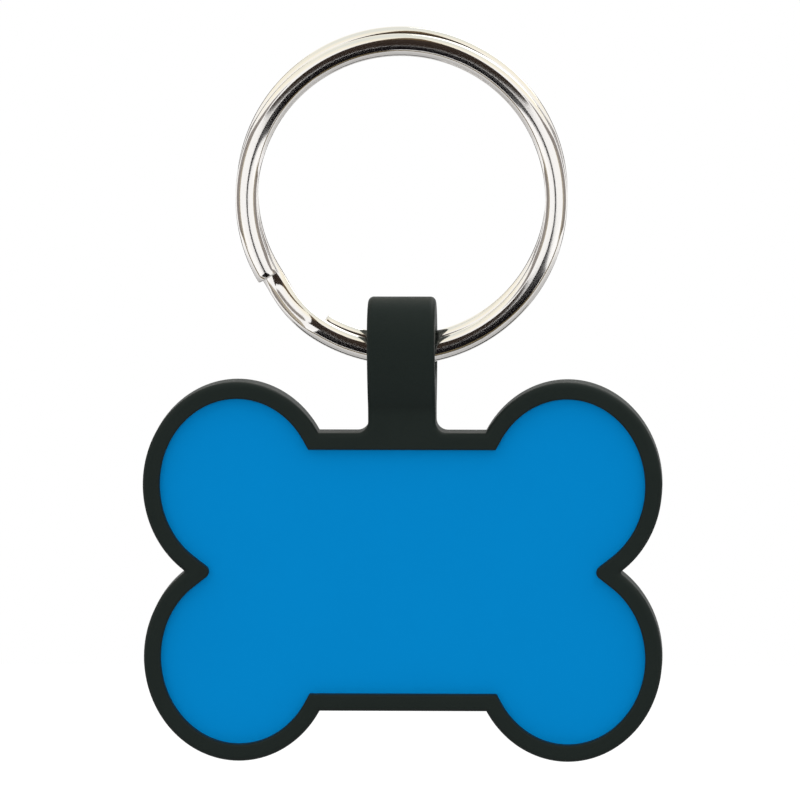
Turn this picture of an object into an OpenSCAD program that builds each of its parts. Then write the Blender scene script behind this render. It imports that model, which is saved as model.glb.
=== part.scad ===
// Bone-shaped pet tag. A moulded rubber frame with a loop on top grips a thin metal plate
// by its edge, and a two-turn split ring runs through the loop.
// It hangs as it is worn: Z is up, X to the right, and the front faces -Y.
// The origin is at the inside top of the ring's front turn, which bears on the collar.
// Lengths are in millimetres and angles in degrees.

/* [Split ring] */
// Outside diameter of the ring
ring_d = 25; // [20:0.5:32]
// Width of the wire across the ring
wire_w = 1.7; // [1.3:0.1:2]
// Thickness of one turn of the wire, along the ring's axis
wire_t = 1.05; // [0.8:0.05:1.3]
// Gap between the two turns
turn_gap = 0.06; // [0.04:0.01:0.12]
// How far the rear turn rides above the front turn
turn_rise = 0.45; // [0:0.05:0.6]
// Length along the wire of the step from one turn to the other
step_len = 5.2; // [4:0.1:8]
// How far the wire bows outwards at the middle of the step
step_bow = 0.1; // [0:0.01:0.2]
// Gap along the ring between a cut end and the step beside it
end_gap = 0.3; // [0.1:0.05:0.6]
// Bevel round the two cut ends of the wire
end_bevel = 0.12; // [0.05:0.01:0.2]
// Place of the front cut end round the ring, counted from the right-hand side
step_at = 212; // [190:1:225]

/* [Bone frame] */
// Width over the two ends of the bone
bone_w = 39.2; // [36:0.1:46]
// Height over the lobes
bone_h = 28.9; // [27:0.1:32]
// Width of one lobe
lobe_w = 14.3; // [12:0.1:17]
// Depth of the notch between the two lobes of an end
notch_in = 3.2; // [2.4:0.1:4]
// Height of the straight waist
waist_h = 21.2; // [19:0.1:24]
// Thickness of the frame, front to back
frame_t = 2.8; // [2.4:0.1:3.6]
// Width of the rim, from the outer edge to the window
rim_w = 1.28; // [1.2:0.02:2]
// Radius of the frame's outer edges
outer_round = 0.42; // [0.2:0.01:0.6]
// Radius of the edges of the window
window_round = 0.16; // [0.08:0.01:0.25]

/* [Plate] */
// Thickness of the metal plate
plate_t = 1.2; // [0.8:0.1:1.5]
// How far the plate's edge reaches under the rim
plate_grip = 0.55; // [0.3:0.05:0.7]
// Clearance between the plate and its groove
plate_fit = 0.02; // [0.01:0.01:0.05]

/* [Loop] */
// Width of the loop, along its bore
loop_w = 5.1; // [4:0.1:7]
// Depth of the loop's barrel, front to back
loop_depth = 6.2; // [5.8:0.1:7.5]
// Height of the loop's top over the edge of the waist
loop_rise = 10.2; // [9.6:0.1:14]
// Rubber between the bore and the loop's top
loop_wall = 2.4; // [1.8:0.05:3]
// Height of the flat neck between the waist and the barrel's curve
neck_h = 1.7; // [1.2:0.1:2.4]
// Step from the frame's faces down to the neck's faces
neck_step = 0.01; // [0.01:0.01:0.1]
// Radius of the loop's side edges
loop_round = 0.4; // [0.2:0.05:0.6]
// Radius of the fillets between the neck and the waist
root_fillet = 0.85; // [0.4:0.05:1.1]
// Clearance between the corners of the wire and the bore
bore_clear = 0.22; // [0.15:0.01:0.5]
// Gap between the hanging wire and the top of the bore at its mouths
hang_gap = 0.14; // [0.1:0.01:0.3]
// Bevel round the bore's two mouths
mouth_bevel = 0.3; // [0.1:0.05:0.5]

/* [Hidden] */

// How square the wire's section is: 2 is an ellipse, and more is squarer
wire_squareness = 2.6;
// Sides of the wire's section
wire_sides = 14;
// Stations along one turn, along the step, along one lobe and along a rounded edge
turn_steps = 66;
step_steps = 10;
lobe_steps = 30;
edge_steps = 4;
lip_steps = 2;
// Rings of the loop from its fillets, its front curve and the crown of its barrel
fillet_rings = 5;
curve_rings = 8;
crown_rings = 8;
// Angle at which the crown ends in a narrow flat
crown_end = 84;
// Share of the frame's outer wall that the neck sinks into
neck_sink_share = 0.6;
// Share of the crown's half depth that its corners may take
crown_corner_share = 0.8;
// Overrun of a cut past the face that it opens
over = 0.5;
$fn = 96;

// The ring, with its centre below the origin
ring_r = (ring_d - wire_w) / 2;
ring_z = -(ring_d / 2 - wire_w);
turn_y = (wire_t + turn_gap) / 2;
pair_t = 2 * wire_t + turn_gap;
step_angle = step_len / ring_r * 180 / PI;
end_angle = end_gap / ring_r * 180 / PI;
bevel_angle = end_bevel / ring_r * 180 / PI;
rear_end = step_at + step_angle + end_angle - 360;
front_end = step_at - end_angle + 360;

// The bore, which holds both turns of the wire with room to swing round it
inner_r = ring_d / 2 - wire_w;
wire_rise = inner_r - sqrt(pow(inner_r, 2) - pow(loop_w / 2, 2));
bore_r = norm([(wire_w + wire_rise + turn_rise) / 2, pair_t / 2]) + bore_clear;
wire_top_z = ring_z - inner_r + wire_rise + turn_rise;
bore_z = wire_top_z + hang_gap - sqrt(pow(bore_r, 2) - pow(turn_y, 2));

// The tag, which hangs on the rear turn by the top of its bore
barrel_r = loop_depth / 2;
loop_top_z = bore_z + bore_r + loop_wall;
barrel_z = loop_top_z - barrel_r;
waist_z = loop_top_z - loop_rise;
bone_z = waist_z - waist_h / 2;
frame_half = frame_t / 2;
neck_half = frame_half - neck_step;
neck_top_z = waist_z + neck_h;

// The front and back curves of the loop leave the barrel upright and meet the neck
curve_drop = barrel_z - neck_top_z;
curve_in = barrel_r - neck_half;
curve_r = (pow(curve_drop, 2) + pow(curve_in, 2)) / (2 * curve_in);

// The lobes are ellipses, and the plate's groove lies inside their rim
lobe_x = (bone_w - lobe_w) / 2;
notch_t = -acos(1 - 2 * notch_in / lobe_w);
lobe_h = bone_h / (1 - sin(notch_t));
lobe_z = (bone_h - lobe_h) / 2;
seat_half = plate_t / 2 + plate_fit;
plate_in = rim_w - plate_grip;
groove_in = plate_in - plate_fit;
waist_t = 180 - asin((waist_h / 2 - lobe_z) / (lobe_h / 2));

function unit(v) = v / norm(v);

// Quarter circles in steps, from the first direction to the second
function quarter(steps) = [for (i = [0:steps]) let (a = 90 * i / steps) [cos(a), sin(a)]];

// One quarter of the bone: a point on its edge and the way inwards from it.
// The way inwards is as long as takes the edge one unit in, so corners keep their mitre.
function lobe_point(t) = [lobe_x + lobe_w / 2 * cos(t), lobe_z + lobe_h / 2 * sin(t)];
function lobe_out(t) = unit([cos(t) / lobe_w, sin(t) / lobe_h]);
function lobe_in(i, out) =
    i == 0 ? [-1 / out[0], 0] :
    i == lobe_steps ? [-(1 - out[1]) / out[0], -1] :
    -out;
function quarter_edge() = [
    for (i = [0:lobe_steps])
        let (t = notch_t + (waist_t - notch_t) * i / lobe_steps)
            [lobe_point(t), lobe_in(i, lobe_out(t))]
];
function mirrored(edge, sx, sz) = [
    for (e = edge) [[sx * e[0][0], sz * e[0][1]], [sx * e[1][0], sz * e[1][1]]]
];
function reversed(list) = [for (i = [len(list) - 1:-1:0]) list[i]];
function between(list, first, last) = [for (i = [first:last]) list[i]];

// The whole edge of the bone, anticlockwise from the right-hand notch
function bone_edge() =
    let (q = quarter_edge(), inner = between(q, 1, lobe_steps))
        concat(
            q,
            reversed(mirrored(q, -1, 1)),
            mirrored(inner, -1, -1),
            reversed(mirrored(inner, 1, -1))
        );
function bone_outline(inset) = [for (e = bone_edge()) e[0] + inset * e[1]];

// Section of the rim as distances in from the edge and back from the middle plane.
// It is a channel: an outer wall, and two lips over the edge of the plate.
function front_of_rim() = concat(
    [for (q = quarter(edge_steps))
        [outer_round * (1 - q[0]), outer_round * (1 - q[1]) - frame_half]],
    [for (q = quarter(lip_steps))
        [rim_w - window_round * (1 - q[1]), window_round * (1 - q[0]) - frame_half]],
    [[rim_w, -seat_half], [groove_in, -seat_half]]
);
function rim_section() =
    let (front = front_of_rim())
        concat(front, reversed([for (p = front) [p[0], -p[1]]]));

// Triangles between rings of the same number of points, closed end to end or capped
function tube_faces(rings, sides, closed) = [
    for (i = [0:rings - (closed ? 1 : 2)], j = [0:sides - 1])
        let (
            a = i * sides + j,
            b = i * sides + (j + 1) % sides,
            c = (i + 1) % rings * sides + (j + 1) % sides,
            d = (i + 1) % rings * sides + j
        )
            each [[a, c, b], [a, d, c]]
];
function cap_faces(first, sides, flip) = [
    for (j = [1:sides - 2])
        flip ? [first, first + j + 1, first + j] : [first, first + j, first + j + 1]
];

module closed_sweep(rings) {
    sides = len(rings[0]);
    polyhedron(
        points = [for (r = rings) each r],
        faces = tube_faces(len(rings), sides, true)
    );
}

module capped_sweep(rings) {
    sides = len(rings[0]);
    polyhedron(
        points = [for (r = rings) each r],
        faces = concat(
            tube_faces(len(rings), sides, false),
            cap_faces(0, sides, false),
            cap_faces((len(rings) - 1) * sides, sides, true)
        )
    );
}

module rim() {
    section = reversed(rim_section());
    closed_sweep([
        for (e = bone_edge())
            [for (s = section) [e[0][0] + s[0] * e[1][0], s[1], bone_z + e[0][1] + s[0] * e[1][1]]]
    ]);
}

// One level of the loop: a rectangle with round corners, half_x by half_y, at height z
function level(half_x, half_y, z) =
    let (r = min(loop_round, crown_corner_share * half_y))
        [
            for (corner = [0:3], q = quarter(edge_steps))
                let (
                    a = 90 * corner,
                    sx = corner == 0 || corner == 3 ? 1 : -1,
                    sy = corner < 2 ? 1 : -1,
                    turned = [q[0] * cos(a) - q[1] * sin(a), q[0] * sin(a) + q[1] * cos(a)]
                )
                    [sx * (half_x - r) + r * turned[0], sy * (half_y - r) + r * turned[1], z]
        ];

// Rings of the loop from the frame's wall to the crown, where its side edges round over
function fillet_level(rise) =
    level(loop_w / 2 + root_fillet - sqrt(pow(root_fillet, 2) - pow(root_fillet - rise, 2)),
        neck_half, waist_z + rise);
function curve_level(rise) =
    let (below = curve_drop - rise)
        level(loop_w / 2, barrel_r - curve_r + sqrt(pow(curve_r, 2) - pow(below, 2)),
            neck_top_z + rise);
function crown_level(a) =
    let (z = barrel_z + barrel_r * sin(a), past = max(0, loop_round - (loop_top_z - z)))
        level(loop_w / 2 - loop_round + sqrt(pow(loop_round, 2) - pow(past, 2)),
            barrel_r * cos(a), z);
function loop_levels() = concat(
    [level(loop_w / 2 + root_fillet, neck_half, waist_z - neck_sink_share * groove_in)],
    [for (i = [0:fillet_rings]) fillet_level(root_fillet * (1 - cos(90 * i / fillet_rings)))],
    [for (i = [0:curve_rings]) curve_level(curve_drop * i / curve_rings)],
    [for (i = [1:crown_rings]) crown_level(crown_end * i / crown_rings)]
);

// The bore and the bevels round its mouths
module bore() {
    translate([0, 0, bore_z])
        rotate([0, 90, 0]) {
            cylinder(h = loop_w + 2 * over, r = bore_r, center = true);
            for (side = [0, 180])
                rotate([side, 0, 0])
                    translate([0, 0, loop_w / 2 - mouth_bevel])
                        cylinder(h = mouth_bevel + over, r1 = bore_r, r2 = bore_r + mouth_bevel + over);
        }
}

module silicone_frame() {
    color("#23292a")
        difference() {
            union() {
                rim();
                capped_sweep(loop_levels());
            }
            bore();
        }
}

module id_plate() {
    color("#0082c8")
        translate([0, plate_t / 2, bone_z])
            rotate([90, 0, 0])
                linear_extrude(plate_t)
                    polygon(bone_outline(plate_in));
}

// Section of the wire, round-cornered like flattened wire
function wire_section(scale_to) = [
    for (i = [0:wire_sides - 1])
        let (a = 360 * i / wire_sides, c = cos(a), s = sin(a), k = 2 / wire_squareness)
            scale_to * [wire_w / 2 * sign(c) * pow(abs(c), k), wire_t / 2 * sign(s) * pow(abs(s), k)]
];

// Share of the step that is done at an angle, from 0 on the rear turn to 1 on the front turn.
// The share that is passed eases in and out, so the wire leaves both turns along them.
function step_done(a) = min(1, max(0, (a - step_at) / step_angle));
function step_passed(a) = let (u = step_done(a)) u * u * (3 - 2 * u);
function wire_y(a) = turn_y * (1 - 2 * step_passed(a));
function wire_z(a) = ring_z + turn_rise * (1 - step_passed(a));
function wire_ring_r(a) = ring_r + step_bow * pow(sin(180 * step_done(a)), 2);
function wire_station(a, scale_to) = [
    for (p = wire_section(scale_to))
        let (r = wire_ring_r(a) + p[0])
            [r * cos(a), wire_y(a) + p[1], wire_z(a) + r * sin(a)]
];
function spread(first, last, steps) = [for (i = [0:steps]) first + (last - first) * i / steps];
function wire_angles() = concat(
    spread(rear_end, step_at, turn_steps),
    between(spread(step_at, step_at + step_angle, step_steps), 1, step_steps - 1),
    spread(step_at + step_angle, front_end, turn_steps)
);

// Least gap between the two turns, measured at the stations where they lie side by side
function least_gap() = min([
    for (a = spread(rear_end, front_end - 360, turn_steps)) wire_y(a) - wire_y(a + 360) - wire_t
]);

module split_ring() {
    echo(least_gap_between_turns = least_gap());
    end_share = 1 - 2 * end_bevel / wire_w;
    color("#cfcac2")
        capped_sweep(concat(
            [wire_station(rear_end - bevel_angle, end_share)],
            [for (a = wire_angles()) wire_station(a, 1)],
            [wire_station(front_end + bevel_angle, end_share)]
        ));
}

silicone_frame();
id_plate();
split_ring();
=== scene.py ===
"""Bone-shaped pet tag: a rubber frame with a loop, a blue anodised plate and a nickel split ring.

Pieces are shaped in millimetres, in the part's own frame: Z is up, X to the right and the front
faces -Y.
"""
import math

import bmesh
import bpy
from mathutils import Matrix, Vector


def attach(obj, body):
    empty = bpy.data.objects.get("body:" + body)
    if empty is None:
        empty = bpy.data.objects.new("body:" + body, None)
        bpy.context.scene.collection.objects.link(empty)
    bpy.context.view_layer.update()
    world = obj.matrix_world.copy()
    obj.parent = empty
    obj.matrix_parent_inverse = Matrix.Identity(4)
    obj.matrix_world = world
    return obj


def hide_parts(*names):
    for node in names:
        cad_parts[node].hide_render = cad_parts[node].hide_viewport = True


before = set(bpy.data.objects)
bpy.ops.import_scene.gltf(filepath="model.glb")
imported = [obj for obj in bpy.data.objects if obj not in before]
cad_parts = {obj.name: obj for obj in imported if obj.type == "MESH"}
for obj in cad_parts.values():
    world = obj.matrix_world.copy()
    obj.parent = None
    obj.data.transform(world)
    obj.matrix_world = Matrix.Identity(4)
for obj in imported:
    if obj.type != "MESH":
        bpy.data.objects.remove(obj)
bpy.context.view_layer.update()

MM = 0.001

# Split ring
RING_D = 25.0
WIRE_W = 1.7
WIRE_T = 1.05
WIRE_SQUARENESS = 2.6
TURN_GAP = 0.06
TURN_RISE = 0.45
STEP_LEN = 5.2
STEP_BOW = 0.1
STEP_EASE = 0.25
STEP_AT = 212.0
END_GAP = 0.3
END_BEVEL = 0.12

# Bone frame
BONE_W = 39.2
BONE_H = 28.9
LOBE_W = 14.3
NOTCH_IN = 3.2
WAIST_H = 21.2
FRAME_T = 2.8
RIM_W = 1.28
OUTER_ROUND = 0.42
WINDOW_ROUND = 0.16

# Plate and its groove
PLATE_T = 1.2
PLATE_GRIP = 0.55
PLATE_FIT = 0.02
PLATE_ROUND = 0.08

# Loop
LOOP_W = 5.1
LOOP_DEPTH = 6.2
LOOP_RISE = 10.2
LOOP_WALL = 2.4
NECK_H = 1.7
ROOT_FILLET = 0.85
CREASE_ROUND = 1.2
BORE_CLEAR = 0.22
HANG_GAP = 0.14
MOUTH_ROUND = 0.32

# The loop's cheek opens from this far under the bore's mouth, and the opening's sill is its only
# edge over this length
CHEEK_BELOW = 0.3
SILL_MIN = 1.0

# Where things lie, worked out as in the part's source
RING_R = (RING_D - WIRE_W) / 2
INNER_R = RING_D / 2 - WIRE_W
RING_Z = -INNER_R
TURN_Y = (WIRE_T + TURN_GAP) / 2
STEP_ANGLE = math.degrees(STEP_LEN / RING_R)
END_ANGLE = math.degrees(END_GAP / RING_R)
WIRE_DIP = INNER_R - math.sqrt(INNER_R**2 - (LOOP_W / 2) ** 2)
BORE_R = math.hypot((WIRE_W + WIRE_DIP + TURN_RISE) / 2, WIRE_T + TURN_GAP / 2) + BORE_CLEAR
BORE_Z = RING_Z - INNER_R + WIRE_DIP + TURN_RISE + HANG_GAP - math.sqrt(BORE_R**2 - TURN_Y**2)
BARREL_R = LOOP_DEPTH / 2
LOOP_TOP_Z = BORE_Z + BORE_R + LOOP_WALL
BARREL_Z = LOOP_TOP_Z - BARREL_R
WAIST_Z = LOOP_TOP_Z - LOOP_RISE
BONE_Z = WAIST_Z - WAIST_H / 2
NECK_TOP_Z = WAIST_Z + NECK_H
FRAME_HALF = FRAME_T / 2
PLATE_HALF = PLATE_T / 2
SEAT_HALF = PLATE_HALF + PLATE_FIT
PLATE_IN = RIM_W - PLATE_GRIP
LOBE_X = (BONE_W - LOBE_W) / 2
LOBE_H = BONE_H / (1 + math.sin(math.acos(1 - 2 * NOTCH_IN / LOBE_W)))
LOBE_Z = (BONE_H - LOBE_H) / 2
ROOT_X = LOOP_W / 2 + ROOT_FILLET

# Where the moulded notch between two lobes begins, in radians, and the rounding of its tip
NOTCH_EASE = 0.03
TIP_ROUND = 0.5

# Faces along each curve, and the cuts that divide the sill
LOBE_STEPS = 72
HOLLOW_STEPS = 8
RIM_STEPS = 8
WINDOW_STEPS = 4
FILLET_STEPS = 8
CREASE_STEPS = 6
SWELL_STEPS = 24
CROWN_STEPS = 24
SILL_CUTS = 13
MOUTH_STEPS = 6
WIRE_SIDES = 40
TURN_STEPS = 150
STEP_STEPS = 24

# A flat face keeps this border beside a rounded edge
FLAT_MARGIN = 0.05

# Points of an outline this close are one, and a point of the frame this close to a face is in it
JOIN = 1e-4
TOUCH = 1e-3


# ---------- mesh tools ----------


def bridge(bm, first, second):
    bmesh.ops.bridge_loops(bm, edges=list(first) + list(second))


def slide_out(bm, edges, place):
    """Extrudes edges and puts each new vertex where place() says. Gives the new row of edges."""
    grown = bmesh.ops.extrude_edge_only(bm, edges=edges)["geom"]
    tips = {g for g in grown if isinstance(g, bmesh.types.BMVert)}
    for v in tips:
        v.co = place(v)
    return [g for g in grown if isinstance(g, bmesh.types.BMEdge) and tips.issuperset(g.verts)]


def open_edges(bm, test):
    """Edges on an open border whose two ends pass a test."""
    return [e for e in bm.edges if len(e.link_faces) == 1 and all(test(v.co) for v in e.verts)]


def quarter(steps, first=0):
    """Sine and cosine from 0 to 90 degrees in equal steps."""
    angles = [math.pi / 2 * i / steps for i in range(first, steps + 1)]
    return [(math.sin(a), math.cos(a)) for a in angles]


def round_edges(bm, edges, radius, segments):
    bmesh.ops.bevel(
        bm, geom=edges, offset=radius, offset_type="OFFSET", segments=segments,
        profile=0.5, affect="EDGES", clamp_overlap=False, material=-1,
    )


def make_piece(bm, name, body, node, material, sharp_angle):
    """Takes a mesh in millimetres to a piece in metres that stands for a CAD node."""
    bmesh.ops.recalc_face_normals(bm, faces=bm.faces)
    bmesh.ops.scale(bm, vec=(MM, MM, MM), verts=bm.verts)
    mesh = bpy.data.meshes.new(name)
    bm.to_mesh(mesh)
    bm.free()
    mesh.shade_smooth()
    mesh.set_sharp_from_angle(angle=math.radians(sharp_angle))
    mesh.materials.append(material)
    piece = bpy.data.objects.new(name, mesh)
    bpy.context.scene.collection.objects.link(piece)
    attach(piece, body)
    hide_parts(node)
    return piece


# ---------- the bone's outline ----------


def lobe_normal(co):
    """The way out from a point on the edge of the upper right lobe."""
    return Vector(((co.x - LOBE_X) / LOBE_W**2, 0, (co.z - LOBE_Z) / LOBE_H**2)).normalized()


def bone_outline(bm, y):
    """The closed outline of the bone at depth y, with points ready for the loop's root.

    Each point keeps its way inwards, long enough to take the whole edge one millimetre in.
    """
    first = NOTCH_EASE - math.acos(1 - 2 * NOTCH_IN / LOBE_W)
    last = math.pi - math.asin((WAIST_H / 2 - LOBE_Z) / (LOBE_H / 2))
    start = bmesh.ops.create_vert(bm, co=(math.cos(first), 0, math.sin(first)))["vert"]
    end = bmesh.ops.spin(
        bm, geom=start, cent=(0, 0, 0), axis=(0, -1, 0), dvec=(0, 0, 0),
        angle=last - first, steps=LOBE_STEPS, use_duplicate=False,
    )["geom_last"]
    bmesh.ops.scale(bm, vec=(LOBE_W / 2, 1, LOBE_H / 2), verts=bm.verts)
    bmesh.ops.translate(bm, vec=(LOBE_X, y, LOBE_Z), verts=bm.verts)
    # The two lobes of an end meet in a tight hollow
    lobe_foot = start[0].co.copy()
    foot_out = lobe_normal(lobe_foot)
    hollow_r = lobe_foot.z / -foot_out.z
    hollow = lobe_foot + foot_out * hollow_r
    bmesh.ops.spin(
        bm, geom=start, cent=hollow, axis=(0, -1, 0), dvec=(0, 0, 0),
        angle=math.acos(foot_out.x), steps=HOLLOW_STEPS, use_duplicate=False,
    )
    tip = [v for v in end if isinstance(v, bmesh.types.BMVert)]
    corner_x = tip[0].co.x
    for x in (ROOT_X, ROOT_X - FLAT_MARGIN, ROOT_X / 2, 0):
        tip = bmesh.ops.extrude_vert_indiv(bm, verts=tip)["verts"]
        tip[0].co = (x, y, WAIST_H / 2)
    for axis in ("X", "Z"):
        bmesh.ops.mirror(
            bm, geom=bm.verts[:] + bm.edges[:], matrix=Matrix.Identity(4),
            merge_dist=JOIN, axis=axis,
        )
    bmesh.ops.remove_doubles(bm, verts=bm.verts, dist=JOIN)
    # Inside the hollow the edge turns round a wider tip, once it is a rim's width in
    rim_foot = lobe_foot - foot_out * (RIM_W - TIP_ROUND)
    tip_centre = Vector((rim_foot.x + rim_foot.z * foot_out.z / foot_out.x, y, 0))
    inward = bm.verts.layers.float_vector.new("inward")
    for v in bm.verts:
        x, z = abs(v.co.x), abs(v.co.z)
        out = lobe_normal(Vector((x, y, z)))
        if z < lobe_foot.z - JOIN:
            edge = Vector((x, y, z))
            way = (tip_centre + (edge - hollow).normalized() * TIP_ROUND - edge) / RIM_W
        elif x < corner_x - JOIN:
            way = (0, 0, -1)
        elif x < corner_x + JOIN:
            way = ((out.z - 1) / out.x, 0, -1)
        else:
            way = -out
        v[inward] = (math.copysign(1, v.co.x) * way[0], 0, math.copysign(1, v.co.z) * way[2])
    bmesh.ops.translate(bm, vec=(0, 0, BONE_Z), verts=bm.verts)
    return bm.edges[:]


def set_in(bm, edges, inset, y):
    """Extrudes a row of the bone's outline inwards, to depth y. Gives the new row."""
    inward = bm.verts.layers.float_vector["inward"]
    return slide_out(
        bm, edges, lambda v: Vector((v.co.x, y, v.co.z)) + Vector(v[inward]) * inset
    )


# ---------- rubber frame ----------


def rim_rows():
    """Section of the rim from its outer wall over the front, round the groove and over the back.

    Each row is its distance in from the edge and its depth.
    """
    wall = FRAME_HALF - OUTER_ROUND
    window = RIM_W - WINDOW_ROUND
    groove = PLATE_IN - PLATE_FIT
    front = [(0, wall - FLAT_MARGIN)]
    front += [(OUTER_ROUND * (1 - c), wall + OUTER_ROUND * s) for s, c in quarter(RIM_STEPS)]
    front += [(OUTER_ROUND + FLAT_MARGIN, FRAME_HALF), (window - FLAT_MARGIN, FRAME_HALF)]
    front += [
        (window + WINDOW_ROUND * s, FRAME_HALF - WINDOW_ROUND * (1 - c))
        for s, c in quarter(WINDOW_STEPS)
    ]
    front += [
        (RIM_W, FRAME_HALF - WINDOW_ROUND - FLAT_MARGIN), (RIM_W, SEAT_HALF), (groove, SEAT_HALF)
    ]
    return [(d, -y) for d, y in front] + list(reversed(front))


def loop_path():
    """Points of the loop's front line from the neck to the crown, and the way out from each."""
    drop, swell = BARREL_Z - NECK_TOP_Z, BARREL_R - FRAME_HALF
    curve_r = (drop**2 + swell**2) / (2 * swell)
    curve_y = curve_r - BARREL_R
    # The crease between the upright neck and the swelling curve is a hollow that touches both
    reach = curve_r + CREASE_ROUND
    hollow_y = -FRAME_HALF - CREASE_ROUND
    lean = math.acos((curve_y - hollow_y) / reach)
    hollow_z = BARREL_Z - reach * math.sin(lean)
    path = [(-FRAME_HALF, WAIST_Z + ROOT_FILLET, -1, 0)]
    for i in range(CREASE_STEPS + 1):
        s, c = math.sin(lean * i / CREASE_STEPS), math.cos(lean * i / CREASE_STEPS)
        path.append((hollow_y + CREASE_ROUND * c, hollow_z + CREASE_ROUND * s, -c, -s))
    for i in range(SWELL_STEPS - 1, -1, -1):
        s, c = math.sin(lean * i / SWELL_STEPS), math.cos(lean * i / SWELL_STEPS)
        path.append((curve_y - curve_r * c, BARREL_Z - curve_r * s, -c, -s))
    for s, c in quarter(CROWN_STEPS, first=1):
        path.append((-BARREL_R * c, BARREL_Z + BARREL_R * s, -c, s))
    return path


def rubber_frame(material):
    bm = bmesh.new()
    rows = rim_rows()
    first = row = bone_outline(bm, rows[0][1])
    for (was, _), (now, y) in zip(rows, rows[1:]):
        row = set_in(bm, row, now - was, y)
    bridge(bm, row, first)

    # The rim opens under the loop, between its two root fillets
    base_z = WAIST_Z - OUTER_ROUND
    under = [
        f for f in bm.faces
        if all(v.co.z > base_z - TOUCH and abs(v.co.x) < ROOT_X + TOUCH for v in f.verts)
    ]
    bmesh.ops.delete(bm, geom=under, context="FACES")

    # The edge of the rim sweeps up through each root fillet, and the flat faces grow between them
    sweep_r = ROOT_FILLET + OUTER_ROUND
    for side in (-1, 1):
        edge = open_edges(bm, lambda co: abs(co.x - side * ROOT_X) < TOUCH)
        bmesh.ops.spin(
            bm, geom=edge, cent=(side * ROOT_X, 0, WAIST_Z + ROOT_FILLET), axis=(0, side, 0),
            dvec=(0, 0, 0), angle=math.pi / 2, steps=FILLET_STEPS, use_duplicate=False,
        )
    for side in (-1, 1):
        face = open_edges(
            bm, lambda co: abs(co.z - base_z) < TOUCH and abs(co.y - side * FRAME_HALF) < TOUCH
        )
        width = ROOT_X
        for s, c in quarter(FILLET_STEPS, first=1):
            grown = ROOT_X - sweep_r * s
            z = WAIST_Z + ROOT_FILLET - sweep_r * c
            face = slide_out(bm, face, lambda v: Vector((v.co.x * grown / width, v.co.y, z)))
            width = grown
    bmesh.ops.remove_doubles(bm, verts=bm.verts, dist=TOUCH)

    # The whole section of the neck rises along the loop's curve and closes over the crown
    path = loop_path()
    row = open_edges(bm, lambda co: True)
    for (y0, z0, ny0, nz0), (y1, z1, ny1, nz1) in zip(path, path[1:]):

        def rise(v):
            below = (y0 + abs(v.co.y)) * ny0 + (z0 - v.co.z) * nz0
            y = abs(y1 - below * ny1)
            return Vector((v.co.x, math.copysign(y, v.co.y), z1 - below * nz1))

        row = slide_out(bm, row, rise)
    bmesh.ops.remove_doubles(bm, verts=bm.verts, dist=TOUCH)

    # The bore and its flared mouths
    half = LOOP_W / 2
    low = BORE_Z - BORE_R - MOUTH_ROUND - CHEEK_BELOW
    for side in (-1, 1):

        def on_cheek(co):
            return abs(co.x - side * half) < TOUCH and co.z > low

        cheek = [f for f in bm.faces if all(on_cheek(v.co) for v in f.verts)]
        bmesh.ops.delete(bm, geom=cheek, context="FACES")
        sill = [e for e in open_edges(bm, on_cheek) if e.calc_length() > SILL_MIN]
        bmesh.ops.subdivide_edges(bm, edges=sill, cuts=SILL_CUTS)
        row = open_edges(bm, on_cheek)
        for s, c in quarter(MOUTH_STEPS):
            radius = BORE_R + MOUTH_ROUND * (1 - s)

            def narrow(v):
                out = Vector((0, v.co.y, v.co.z - BORE_Z)).normalized() * radius
                return Vector((side * (half - MOUTH_ROUND * (1 - c)), out.y, BORE_Z + out.z))

            row = slide_out(bm, row, narrow)
    slide_out(bm, row, lambda v: Vector((-v.co.x, v.co.y, v.co.z)))
    bmesh.ops.remove_doubles(bm, verts=bm.verts, dist=TOUCH)
    return make_piece(
        bm, "rubber_frame", "tag", "silicone_frame", material, sharp_angle=50
    )


# ---------- plate ----------


def blue_plate(material):
    bm = bmesh.new()
    edge = bone_outline(bm, -PLATE_HALF)
    inner = set_in(bm, edge, PLATE_IN, -PLATE_HALF)
    bmesh.ops.delete(bm, geom=edge, context="EDGES")
    face = bmesh.ops.contextual_create(bm, geom=inner)["faces"]
    solid = bmesh.ops.extrude_face_region(bm, geom=face)["geom"]
    bmesh.ops.translate(
        bm, vec=(0, PLATE_T, 0), verts=[g for g in solid if isinstance(g, bmesh.types.BMVert)]
    )
    rims = [e for e in bm.edges if abs(e.verts[0].co.y - e.verts[1].co.y) < JOIN]
    round_edges(bm, rims, PLATE_ROUND, segments=2)
    return make_piece(
        bm, "blue_plate", "tag", "id_plate", material, sharp_angle=20
    )


# ---------- split ring ----------


def wire_section(bm, matrix):
    """The flattened wire's section, as a ring of edges put where the matrix says."""
    made = bmesh.ops.create_circle(bm, segments=WIRE_SIDES, radius=1)["verts"]
    power = 2 / WIRE_SQUARENESS
    for v in made:
        v.co.x = math.copysign(abs(v.co.x) ** power, v.co.x) * WIRE_W / 2
        v.co.y = math.copysign(abs(v.co.y) ** power, v.co.y) * WIRE_T / 2
    bmesh.ops.transform(bm, matrix=matrix, verts=made)
    return bm.edges[:]


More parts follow.
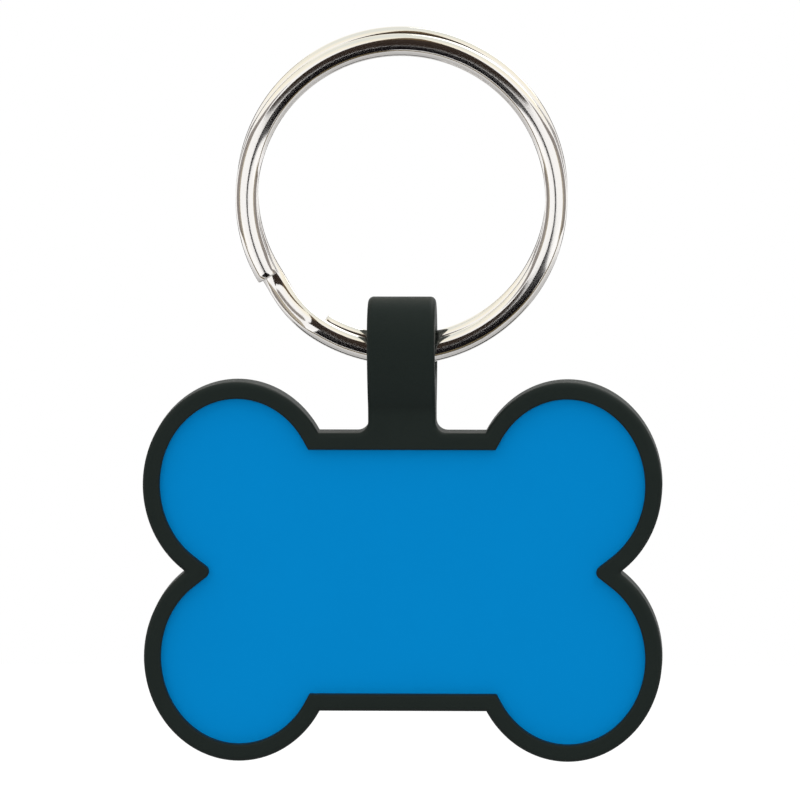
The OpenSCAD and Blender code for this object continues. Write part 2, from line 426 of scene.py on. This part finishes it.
def wire_place(angle):
    """Where the wire's section stands at an angle round the ring, in degrees from the right."""
    done = min(1.0, max(0.0, (angle - STEP_AT) / STEP_ANGLE))
    early, late = min(done, 1 - done, STEP_EASE), max(0, done - 1 + STEP_EASE)
    passed = (
        early * early / 2 if done < STEP_EASE
        else STEP_EASE**2 / 2 + STEP_EASE * (done - STEP_EASE) - late * late / 2
    ) / (STEP_EASE * (1 - STEP_EASE))
    radius = RING_R + STEP_BOW * math.sin(math.pi * done) ** 2
    centre = Vector((0, TURN_Y * (1 - 2 * passed), RING_Z + TURN_RISE * (1 - passed)))
    return (
        Matrix.Translation(centre)
        @ Matrix.Rotation(-math.radians(angle), 4, "Y")
        @ Matrix.Translation((radius, 0, 0))
    )


def wind(bm, edges, first, last):
    """Spins the wire's end round one turn and gives its new end."""
    place = wire_place(first)
    centre = (0, place.translation.y, RING_Z + (TURN_RISE if first < STEP_AT else 0))
    spun = bmesh.ops.spin(
        bm, geom=edges, cent=centre, axis=(0, -1, 0), dvec=(0, 0, 0),
        angle=math.radians(last - first), steps=TURN_STEPS, use_duplicate=False,
    )["geom_last"]
    return [g for g in spun if isinstance(g, bmesh.types.BMEdge)]


def split_ring(material):
    bm = bmesh.new()
    rear_end = STEP_AT + STEP_ANGLE + END_ANGLE - 360
    front_end = STEP_AT - END_ANGLE + 360
    start = wire_section(bm, wire_place(rear_end))
    row = wind(bm, start, rear_end, STEP_AT)
    for i in range(1, STEP_STEPS + 1):
        there = wire_place(STEP_AT + STEP_ANGLE * (i - 1) / STEP_STEPS)
        move = wire_place(STEP_AT + STEP_ANGLE * i / STEP_STEPS) @ there.inverted()
        row = slide_out(bm, row, lambda v: move @ v.co)
    end = wind(bm, row, STEP_AT + STEP_ANGLE, front_end)
    for edges in (start, end):
        cap = bmesh.ops.contextual_create(bm, geom=edges)["faces"]
        bm.normal_update()
        round_edges(bm, list(cap[0].edges), END_BEVEL, segments=3)
    return make_piece(
        bm, "split_ring_wire", "ring", "split_ring", material, sharp_angle=55
    )


# ---------- finishes ----------

# The broad noise that goes with the fine grain has this share of its scale
BROAD_SHARE = 0.06

# Metres of grain to a radian round the ring: so few that the grain is drawn out into lines
DRAWN_OUT = 0.0006


def math_node(tree, operation, a, b=None):
    node = tree.nodes.new("ShaderNodeMath")
    node.operation = operation
    for socket, value in zip(node.inputs, (a, b)):
        if value is None:
            continue
        if isinstance(value, (int, float)):
            socket.default_value = value
        else:
            tree.links.new(value, socket)
    return node.outputs[0]


def fine_grain_group():
    """Fine grain for moulded or satin surfaces: a roughness that varies and a height for bump."""
    group = bpy.data.node_groups.new("fine_grain", "ShaderNodeTree")
    for label, way, kind in (
        ("Place", "INPUT", "NodeSocketVector"),
        ("Grain Size", "INPUT", "NodeSocketFloat"),
        ("Roughness", "INPUT", "NodeSocketFloat"),
        ("Spread", "INPUT", "NodeSocketFloat"),
        ("Roughness", "OUTPUT", "NodeSocketFloat"),
        ("Height", "OUTPUT", "NodeSocketFloat"),
    ):
        group.interface.new_socket(label, in_out=way, socket_type=kind)
    enter = group.nodes.new("NodeGroupInput")
    leave = group.nodes.new("NodeGroupOutput")
    link = group.links.new
    fine_scale = math_node(group, "DIVIDE", 1.0, enter.outputs["Grain Size"])
    noise = group.nodes.new("ShaderNodeTexNoise")
    noise.inputs["Detail"].default_value = 3
    noise.inputs["Roughness"].default_value = 0.6
    link(enter.outputs["Place"], noise.inputs["Vector"])
    link(fine_scale, noise.inputs["Scale"])
    broad = group.nodes.new("ShaderNodeTexNoise")
    broad.inputs["Detail"].default_value = 2
    link(enter.outputs["Place"], broad.inputs["Vector"])
    link(math_node(group, "MULTIPLY", fine_scale, BROAD_SHARE), broad.inputs["Scale"])
    # Each noise wanders about a half, so together they wander about one
    both = math_node(group, "ADD", noise.outputs["Fac"], broad.outputs["Fac"])
    off = math_node(group, "SUBTRACT", both, 1.0)
    spread = math_node(group, "MULTIPLY", off, enter.outputs["Spread"])
    link(math_node(group, "ADD", spread, enter.outputs["Roughness"]), leave.inputs["Roughness"])
    link(noise.outputs["Fac"], leave.inputs["Height"])
    return group


def new_material(name):
    material = bpy.data.materials.new(name)
    material.use_nodes = True
    return material, material.node_tree, material.node_tree.nodes["Principled BSDF"]


def object_place(tree):
    return tree.nodes.new("ShaderNodeTexCoord").outputs["Object"]


def grained(tree, grain, place, shader, size, roughness, spread, strength, distance):
    """Gives a surface its fine grain, in its roughness and as a bump."""
    fine = tree.nodes.new("ShaderNodeGroup")
    fine.node_tree = grain
    fine.inputs["Grain Size"].default_value = size
    fine.inputs["Roughness"].default_value = roughness
    fine.inputs["Spread"].default_value = spread
    tree.links.new(place, fine.inputs["Place"])
    tree.links.new(fine.outputs["Roughness"], shader.inputs["Roughness"])
    bump = tree.nodes.new("ShaderNodeBump")
    bump.inputs["Strength"].default_value = strength
    bump.inputs["Distance"].default_value = distance
    tree.links.new(fine.outputs["Height"], bump.inputs["Height"])
    tree.links.new(bump.outputs["Normal"], shader.inputs["Normal"])


def clouded(tree, place, shader, scale, detail, dark, light):
    """Gives a surface a colour that drifts between two tones."""
    cloud = tree.nodes.new("ShaderNodeTexNoise")
    cloud.inputs["Scale"].default_value = scale
    cloud.inputs["Detail"].default_value = detail
    tree.links.new(place, cloud.inputs["Vector"])
    tone = tree.nodes.new("ShaderNodeMix")
    tone.data_type = "RGBA"
    tone.inputs["A"].default_value = (*dark, 1)
    tone.inputs["B"].default_value = (*light, 1)
    tree.links.new(cloud.outputs["Fac"], tone.inputs["Factor"])
    tree.links.new(tone.outputs["Result"], shader.inputs["Base Color"])


def satin_rubber(grain):
    material, tree, shader = new_material("satin_black_rubber")
    place = object_place(tree)
    grained(
        tree, grain, place, shader,
        size=0.00016, roughness=0.5, spread=0.14, strength=0.25, distance=0.00004,
    )
    clouded(
        tree, place, shader, scale=240, detail=3,
        dark=(0.0116, 0.017, 0.0152), light=(0.0145, 0.0206, 0.0186),
    )
    shader.inputs["Specular IOR Level"].default_value = 0.1
    return material


def anodised_blue(grain):
    material, tree, shader = new_material("anodised_blue")
    place = object_place(tree)
    grained(
        tree, grain, place, shader,
        size=0.00007, roughness=0.5, spread=0.1, strength=0.1, distance=0.00001,
    )
    clouded(
        tree, place, shader, scale=160, detail=4,
        dark=(0.0, 0.281, 0.724), light=(0.0, 0.291, 0.746),
    )
    shader.inputs["Metallic"].default_value = 0.3
    shader.inputs["Specular IOR Level"].default_value = 0.05
    return material


def bright_nickel(grain):
    """Nickel over drawn wire: faint lines run round the ring with the wire."""
    material, tree, shader = new_material("bright_nickel")
    link = tree.links.new
    centred = tree.nodes.new("ShaderNodeMapping")
    centred.inputs["Location"].default_value = (0, 0, -RING_Z * MM)
    link(object_place(tree), centred.inputs["Vector"])
    part = tree.nodes.new("ShaderNodeSeparateXYZ")
    link(centred.outputs["Vector"], part.inputs[0])
    squares = [math_node(tree, "MULTIPLY", part.outputs[a], part.outputs[a]) for a in "XZ"]
    across = tree.nodes.new("ShaderNodeCombineXYZ")
    link(math_node(tree, "SQRT", math_node(tree, "ADD", *squares)), across.inputs["X"])
    link(part.outputs["Y"], across.inputs["Y"])
    turn = math_node(tree, "ARCTAN2", part.outputs["Z"], part.outputs["X"])
    link(math_node(tree, "MULTIPLY", turn, DRAWN_OUT), across.inputs["Z"])
    place = across.outputs[0]
    grained(
        tree, grain, place, shader,
        size=0.0001, roughness=0.07, spread=0.04, strength=0.03, distance=0.00001,
    )
    clouded(
        tree, place, shader, scale=5000, detail=2,
        dark=(0.93, 0.9, 0.85), light=(0.94, 0.92, 0.92),
    )
    shader.inputs["Metallic"].default_value = 1
    return material


# ---------- camera ----------

# Where it stands, in degrees and metres: a little to the right of the tag and above it
CAMERA_BEARING = 2.5
CAMERA_HEIGHT = 8
CAMERA_ROLL = -0.2
CAMERA_AWAY = 0.7

# The picture, in pixels, and how far the bone's middle lies right of its middle and below it
PICTURE_W = 800
BONE_RIGHT = 2.98
BONE_BELOW = 170.26

# A pixel's width at the tag, in metres, and the sensor's width in millimetres
PIXEL = 0.0756 * MM
SENSOR_W = 36


def camera():
    """Stands where the photograph's camera stood."""
    azimuth, elevation = math.radians(CAMERA_BEARING), math.radians(CAMERA_HEIGHT)
    roll = math.radians(CAMERA_ROLL)
    back = Vector((
        math.sin(azimuth) * math.cos(elevation),
        -math.cos(azimuth) * math.cos(elevation),
        math.sin(elevation),
    ))
    right = Vector((math.cos(azimuth), math.sin(azimuth), 0))
    up = back.cross(right)
    tilted_right = right * math.cos(roll) + up * math.sin(roll)
    tilted_up = up * math.cos(roll) - right * math.sin(roll)
    bone = Vector((0, 0, BONE_Z * MM))
    eye = bone + back * CAMERA_AWAY
    aim = bone - tilted_right * BONE_RIGHT * PIXEL + tilted_up * BONE_BELOW * PIXEL
    look_back = (eye - aim).normalized()
    look_right = tilted_up.cross(look_back).normalized()
    look_up = look_back.cross(look_right)
    data = bpy.data.cameras.new("camera")
    data.sensor_width = SENSOR_W
    data.lens = SENSOR_W * (eye - aim).length / (PICTURE_W * PIXEL)
    data.clip_start, data.clip_end = 0.05, 20
    made = bpy.data.objects.new("camera", data)
    turned = Matrix((look_right, look_up, look_back)).transposed().to_4x4()
    made.matrix_world = Matrix.Translation(eye) @ turned
    bpy.context.scene.collection.objects.link(made)
    bpy.context.scene.camera = made


# ---------- studio ----------

# Floor, in metres: its level and half its width, and where the patch of painted shade under the
# tag begins to fade and has faded
FLOOR_Z = -0.5
FLOOR_HALF = 3
SHADE_PATCH_IN = 0.55
SHADE_PATCH_OUT = 1.6

# The floor's tone, and the share of the tent's light that reaches it
FLOOR_TONE = 0.35
TENT_SHARE = 0.8

# How brightly the patch of painted shade under the tag still glows in whatever sees it, and how
# much more for the camera
SHADE_PATCH_GLOW = 0.1
CAMERA_GLOW = 0.4

# How far from the tag the sheets stand, in metres
ARCH_AWAY = 1.2
SHADE_AWAY = 0.8
EDGE_AWAY = 0.85
WALL_AWAY = 1.25


def backdrop_seen(tree):
    """1 for rays that show the backdrop itself: from the camera, off metal or through glass."""
    path = tree.nodes.new("ShaderNodeLightPath")
    seen = math_node(tree, "MAXIMUM", path.outputs["Is Camera Ray"], path.outputs["Is Glossy Ray"])
    return math_node(tree, "MAXIMUM", seen, path.outputs["Is Transmission Ray"])


def sheet(name, corners, material):
    """A flat sheet in the studio, which is no part of the tag and stays out of the picture."""
    bm = bmesh.new()
    bmesh.ops.create_grid(bm, x_segments=1, y_segments=1, size=0.5)
    for v, corner in zip(sorted(bm.verts, key=lambda v: (v.co.y, v.co.x)), corners):
        v.co = corner
    mesh = bpy.data.meshes.new(name)
    bm.to_mesh(mesh)
    bm.free()
    mesh.materials.append(material)
    made = bpy.data.objects.new(name, mesh)
    made.visible_camera = False
    made.visible_shadow = False
    bpy.context.scene.collection.objects.link(made)
    return made


def flag(name, away, corners, material):
    """A sheet on end at a distance from the tag.

    Corners are bearing and height in degrees: the lower left, lower right, upper left and upper
    right one.
    """
    places = [
        (away * math.sin(math.radians(bearing)), -away * math.cos(math.radians(bearing)),
         away * math.tan(math.radians(height)))
        for bearing, height in corners
    ]
    return sheet(name, places, material)


def cloth(name, colour):
    """Matt cloth for the studio."""
    material, tree, shader = new_material(name)
    shader.inputs["Base Color"].default_value = (*colour, 1)
    shader.inputs["Roughness"].default_value = 1
    shader.inputs["Specular IOR Level"].default_value = 0
    return material, tree, shader


def tent_colours(tree, sky):
    """White all round, which metal sees turn cream over the camera and greyer green overhead."""
    place = tree.nodes.new("ShaderNodeTexCoord")
    part = tree.nodes.new("ShaderNodeSeparateXYZ")
    tree.links.new(place.outputs["Generated"], part.inputs[0])
    ramp = tree.nodes.new("ShaderNodeValToRGB")
    stops = [(0.0, (1, 1, 1)), (0.3, (1, 1, 1)), (0.55, (1, 0.95, 0.8)), (0.9, (0.8, 0.82, 0.76))]
    while len(ramp.color_ramp.elements) < len(stops):
        ramp.color_ramp.elements.new(0.5)
    for stop, (at, colour) in zip(ramp.color_ramp.elements, stops):
        stop.position = at
        stop.color = (*colour, 1)
    tree.links.new(part.outputs["Z"], ramp.inputs["Fac"])
    tinted = tree.nodes.new("ShaderNodeMix")
    tinted.data_type = "RGBA"
    tinted.inputs["A"].default_value = (1, 1, 1, 1)
    path = tree.nodes.new("ShaderNodeLightPath")
    tree.links.new(path.outputs["Is Glossy Ray"], tinted.inputs["Factor"])
    tree.links.new(ramp.outputs["Color"], tinted.inputs["B"])
    tree.links.new(tinted.outputs["Result"], sky.inputs["Color"])


def pale_floor():
    """Glows as white as the tent, apart from a greyer patch of painted shade under the tag."""
    pale, tree, shader = cloth("pale_floor", (FLOOR_TONE, FLOOR_TONE, FLOOR_TONE))
    shader.inputs["Emission Color"].default_value = (1, 1, 1, 1)
    span = tree.nodes.new("ShaderNodeVectorMath")
    span.operation = "LENGTH"
    tree.links.new(object_place(tree), span.inputs[0])
    # The glow is dimmed near the tag: painted shade on the floor under it
    fade = tree.nodes.new("ShaderNodeMapRange")
    fade.interpolation_type = "SMOOTHSTEP"
    fade.inputs["From Min"].default_value = SHADE_PATCH_IN
    fade.inputs["From Max"].default_value = SHADE_PATCH_OUT
    to_eye = tree.nodes.new("ShaderNodeLightPath").outputs["Is Camera Ray"]
    glow = math_node(tree, "ADD", math_node(tree, "MULTIPLY", to_eye, CAMERA_GLOW), SHADE_PATCH_GLOW)
    tree.links.new(glow, fade.inputs["To Min"])
    fade.inputs["To Max"].default_value = 1 - TENT_SHARE * FLOOR_TONE
    tree.links.new(span.outputs["Value"], fade.inputs["Value"])
    tree.links.new(
        math_node(tree, "MULTIPLY", backdrop_seen(tree), fade.outputs["Result"]),
        shader.inputs["Emission Strength"],
    )
    ends = (-FLOOR_HALF, FLOOR_HALF)
    floor = sheet("floor", [(x, y, FLOOR_Z) for y in ends for x in ends], pale)
    floor.visible_camera = floor.visible_shadow = True


def doorways():
    """Dark openings that give the polished wire its bands.

    Anywhere round the ring, the wire shows what lies on one straight line through the point at
    bearing -2.5 and height -5.5, and the line leans as the wire does. Brown cloth fans out over
    that point and black cloth under it. So the wire is dark at the ring's top and bottom and
    light at its sides. Two more doorways do the same for the views from behind.
    """
    black = cloth("black_cloth", (0.008, 0.007, 0.008))[0]
    brown = cloth("brown_cloth", (0.045, 0.032, 0.025))[0]
    tan = cloth("tan_cloth", (0.16, 0.11, 0.06))[0]
    openings = (
        ("foot", ARCH_AWAY, [(-2.8, -5.6), (-2.2, -5.6), (-22, 6), (18, 9)], brown),
        ("arch", ARCH_AWAY, [(-17, 6), (18, 9), (-9, 22), (9, 26)], brown),
        ("crown", ARCH_AWAY, [(-9, 22), (9, 26), (-2, 40), (4, 42)], tan),
        ("shade", SHADE_AWAY, [(-19, -19), (25, -19), (-2.8, -5.4), (-2.2, -5.4)], black),
        ("shade_leg", SHADE_AWAY, [(0, -40), (12, -36), (-2, -19), (19, -19)], black),
    )
    for where, turn in (("front", 0), ("rear_right", 135), ("rear_left", 225)):
        for label, away, corners, material in openings:
            turned = [(bearing + turn, height) for bearing, height in corners]
            flag(f"{where}_{label}", away, turned, material)


def side_walls():
    """The table's edge and the duller walls beside the camera, which tint the wire's edges."""
    olive = cloth("olive_cloth", (0.2, 0.16, 0.09))[0]
    drab = cloth("drab_wall", (0.36, 0.33, 0.31))[0]
    cream = cloth("cream_wall", (0.62, 0.56, 0.45))[0]
    flag("table_edge", EDGE_AWAY, [(-60, -16), (60, -16), (-60, -12), (60, -12)], olive)
    walls = (
        ("wall", (25, 45), (7, 17), drab),
        ("soft_wall", (34, 45), (-16, 7), cream),
        ("far_wall", (45, 88), (-16, 17), drab),
    )
    for side, where in ((-1, "left"), (1, "right")):
        for label, bearings, heights, material in walls:
            across = sorted(side * bearing for bearing in bearings)
            corners = [(bearing, height) for height in heights for bearing in across]
            flag(f"{where}_{label}", WALL_AWAY, corners, material)


def softbox(name, place, size, energy):
    """A square lamp that faces the tag."""
    lamp = bpy.data.lights.new(name, "AREA")
    lamp.shape = "SQUARE"
    lamp.size = size
    lamp.energy = energy
    held = bpy.data.objects.new(name, lamp)
    held.location = place
    held.rotation_mode = "QUATERNION"
    held.rotation_quaternion = Vector(place).to_track_quat("Z", "Y")
    bpy.context.scene.collection.objects.link(held)
    return held


def studio():
    """A white tent over a pale floor, with dark doorways, side walls and three lamps."""
    world = bpy.data.worlds.new("white_tent")
    world.use_nodes = True
    bpy.context.scene.world = world
    tent_colours(world.node_tree, world.node_tree.nodes["Background"])
    pale_floor()
    doorways()
    side_walls()
    front = softbox("front_light", (0.04, -0.95, 0.12), size=0.3, energy=3.4)
    rear = softbox("rear_light", (0, 0.95, 0.12), size=0.3, energy=3.4)
    front.visible_glossy = rear.visible_glossy = False
    softbox("top_light", (0.3, 0.35, 0.5), size=0.5, energy=1.5)


grain = fine_grain_group()
rubber_frame(satin_rubber(grain))
blue_plate(anodised_blue(grain))
split_ring(bright_nickel(grain))
camera()
studio()
bpy.context.scene.view_settings.view_transform = "Standard"
